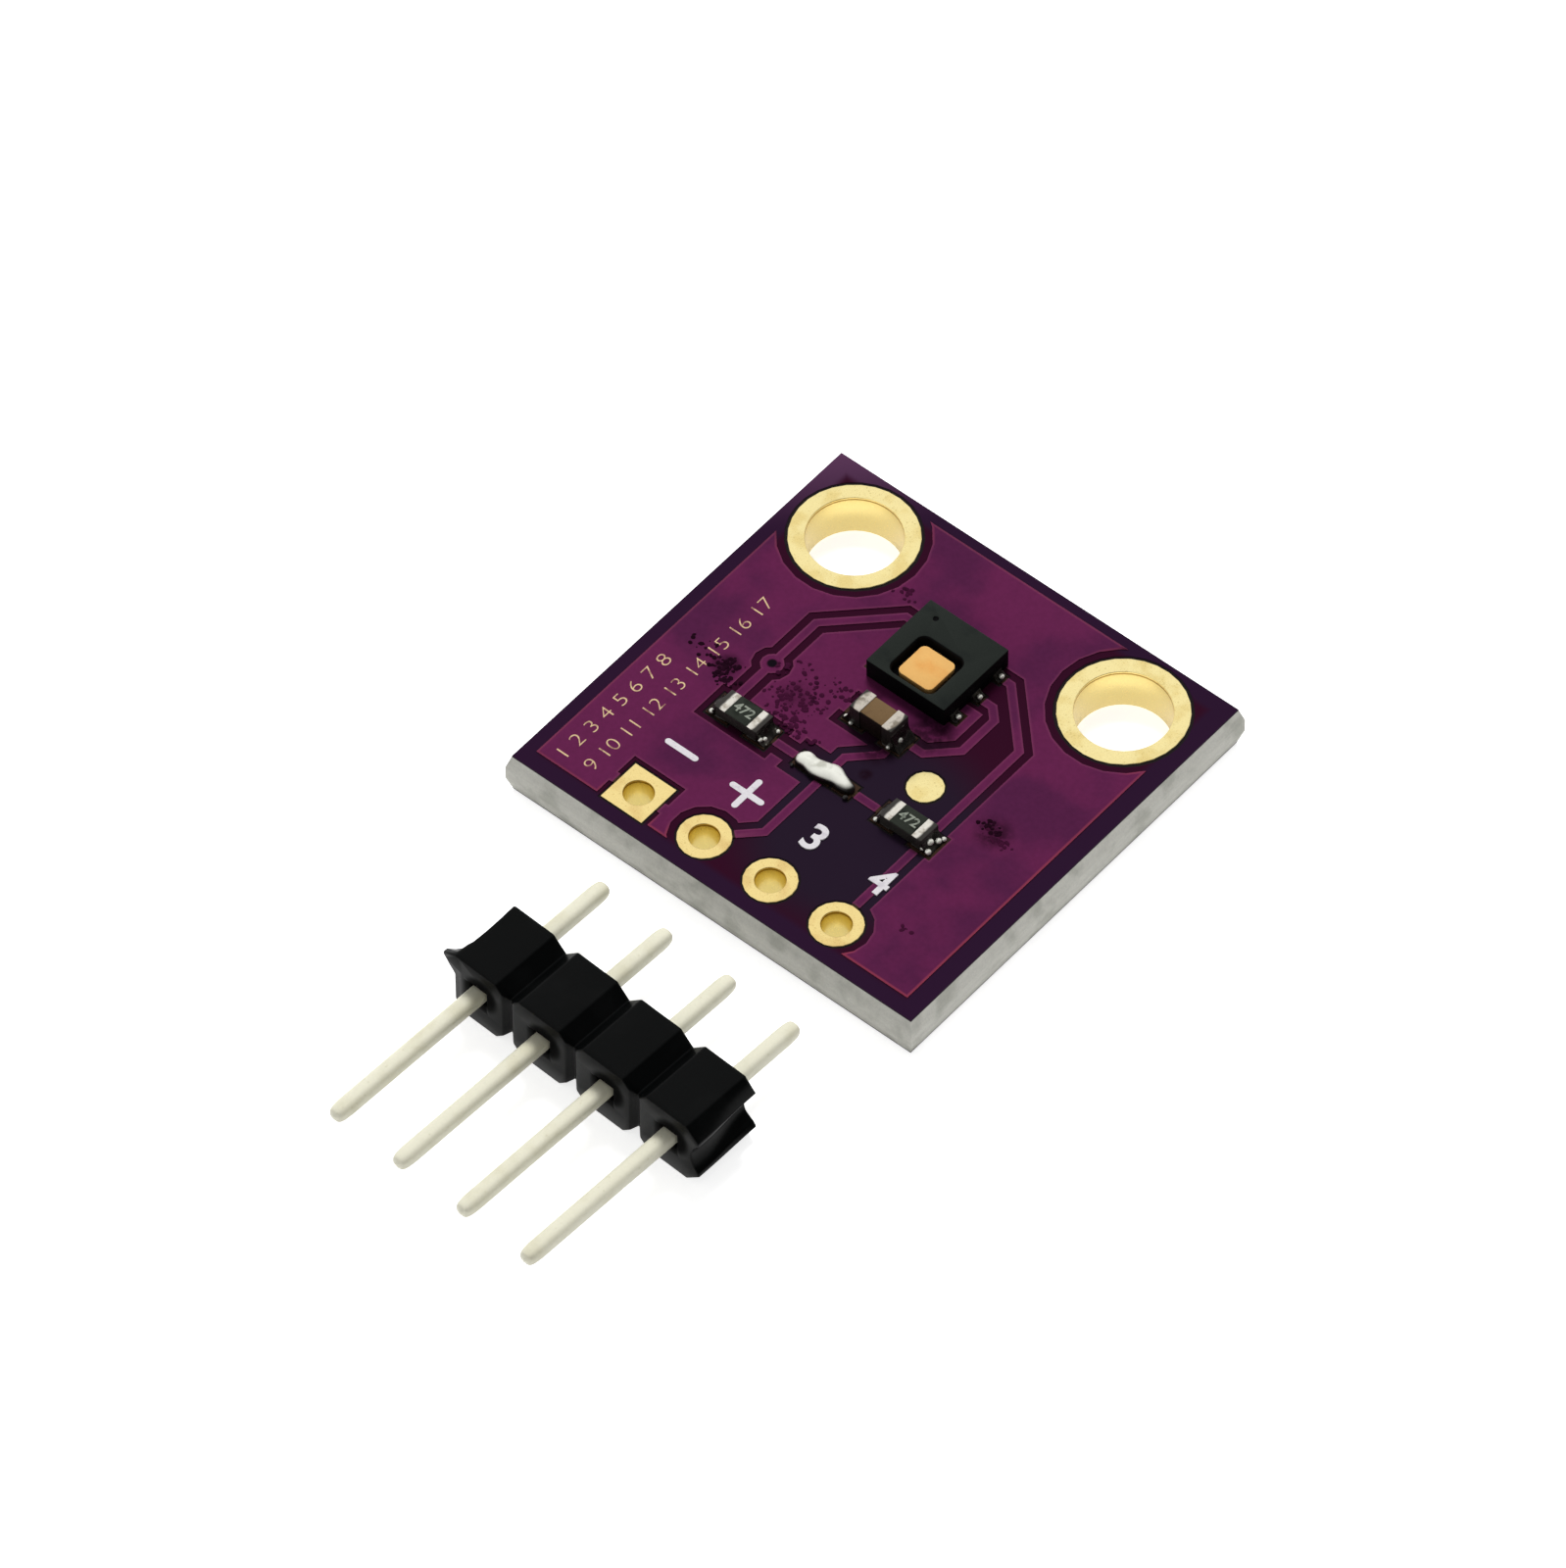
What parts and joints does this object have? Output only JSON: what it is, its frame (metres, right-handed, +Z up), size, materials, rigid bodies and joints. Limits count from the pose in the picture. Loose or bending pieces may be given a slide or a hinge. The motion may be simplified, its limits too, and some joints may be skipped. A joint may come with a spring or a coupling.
{
  "type": "temperature and humidity sensor module",
  "caption": "Small square purple sensor board with gold mounting rings, a windowed sensor, chip parts and plated header holes, its pin header lying loose in front.",
  "frame": {"origin": "centre of the board's underside", "axes": "+X along the row of header holes from the square pad, +Y towards the two mounting holes, +Z up out of the component side"},
  "size_m": [0.0156, 0.0289, 0.0025],
  "materials": {
    "laminate": "snapped glass-fibre laminate edge",
    "copper": "rolled copper under the lacquer",
    "solder_mask": "glossy purple lacquer",
    "gold": "pale gold flash over nickel",
    "moulding_compound": "fine matt moulding compound",
    "sensing_film": "orange polymer film",
    "tin": "dull tin plating",
    "solder": "bright reflowed solder",
    "capacitor_ceramic": "brown ceramic",
    "alumina": "white alumina",
    "resistor_glaze": "black glaze",
    "header_plastic": "glossy black moulding",
    "pin_plating": "pale gold plated brass"
  },
  "bodies": {
    "root": {"board_core": "laminate", "top_copper": "copper", "bottom_copper": "copper", "top_solder_mask": "solder_mask", "bottom_solder_mask": "solder_mask", "mounting_hole_plating_left": "gold", "mounting_hole_plating_right": "gold", "via_plating": "copper", "test_pad": "gold", "sensor_package": "moulding_compound", "sensing_film": "sensing_film", "sensor_leads": "tin", "sensor_solder": "solder", "capacitor_body": "capacitor_ceramic", "capacitor_terminals": "tin", "capacitor_solder": "solder", "jumper_solder": "solder", "header_insulator": "header_plastic", "header_hole_plating_1": "gold", "header_hole_plating_2": "gold", "header_hole_plating_3": "gold", "header_hole_plating_4": "gold", "header_pin_1": "pin_plating", "header_pin_2": "pin_plating", "header_pin_3": "pin_plating", "header_pin_4": "pin_plating", "resistor_left_substrate": "alumina", "resistor_left_overcoat": "resistor_glaze", "resistor_left_terminals": "tin", "resistor_left_solder": "solder", "resistor_right_substrate": "alumina", "resistor_right_overcoat": "resistor_glaze", "resistor_right_terminals": "tin", "resistor_right_solder": "solder"}
  },
  "joints": []
}
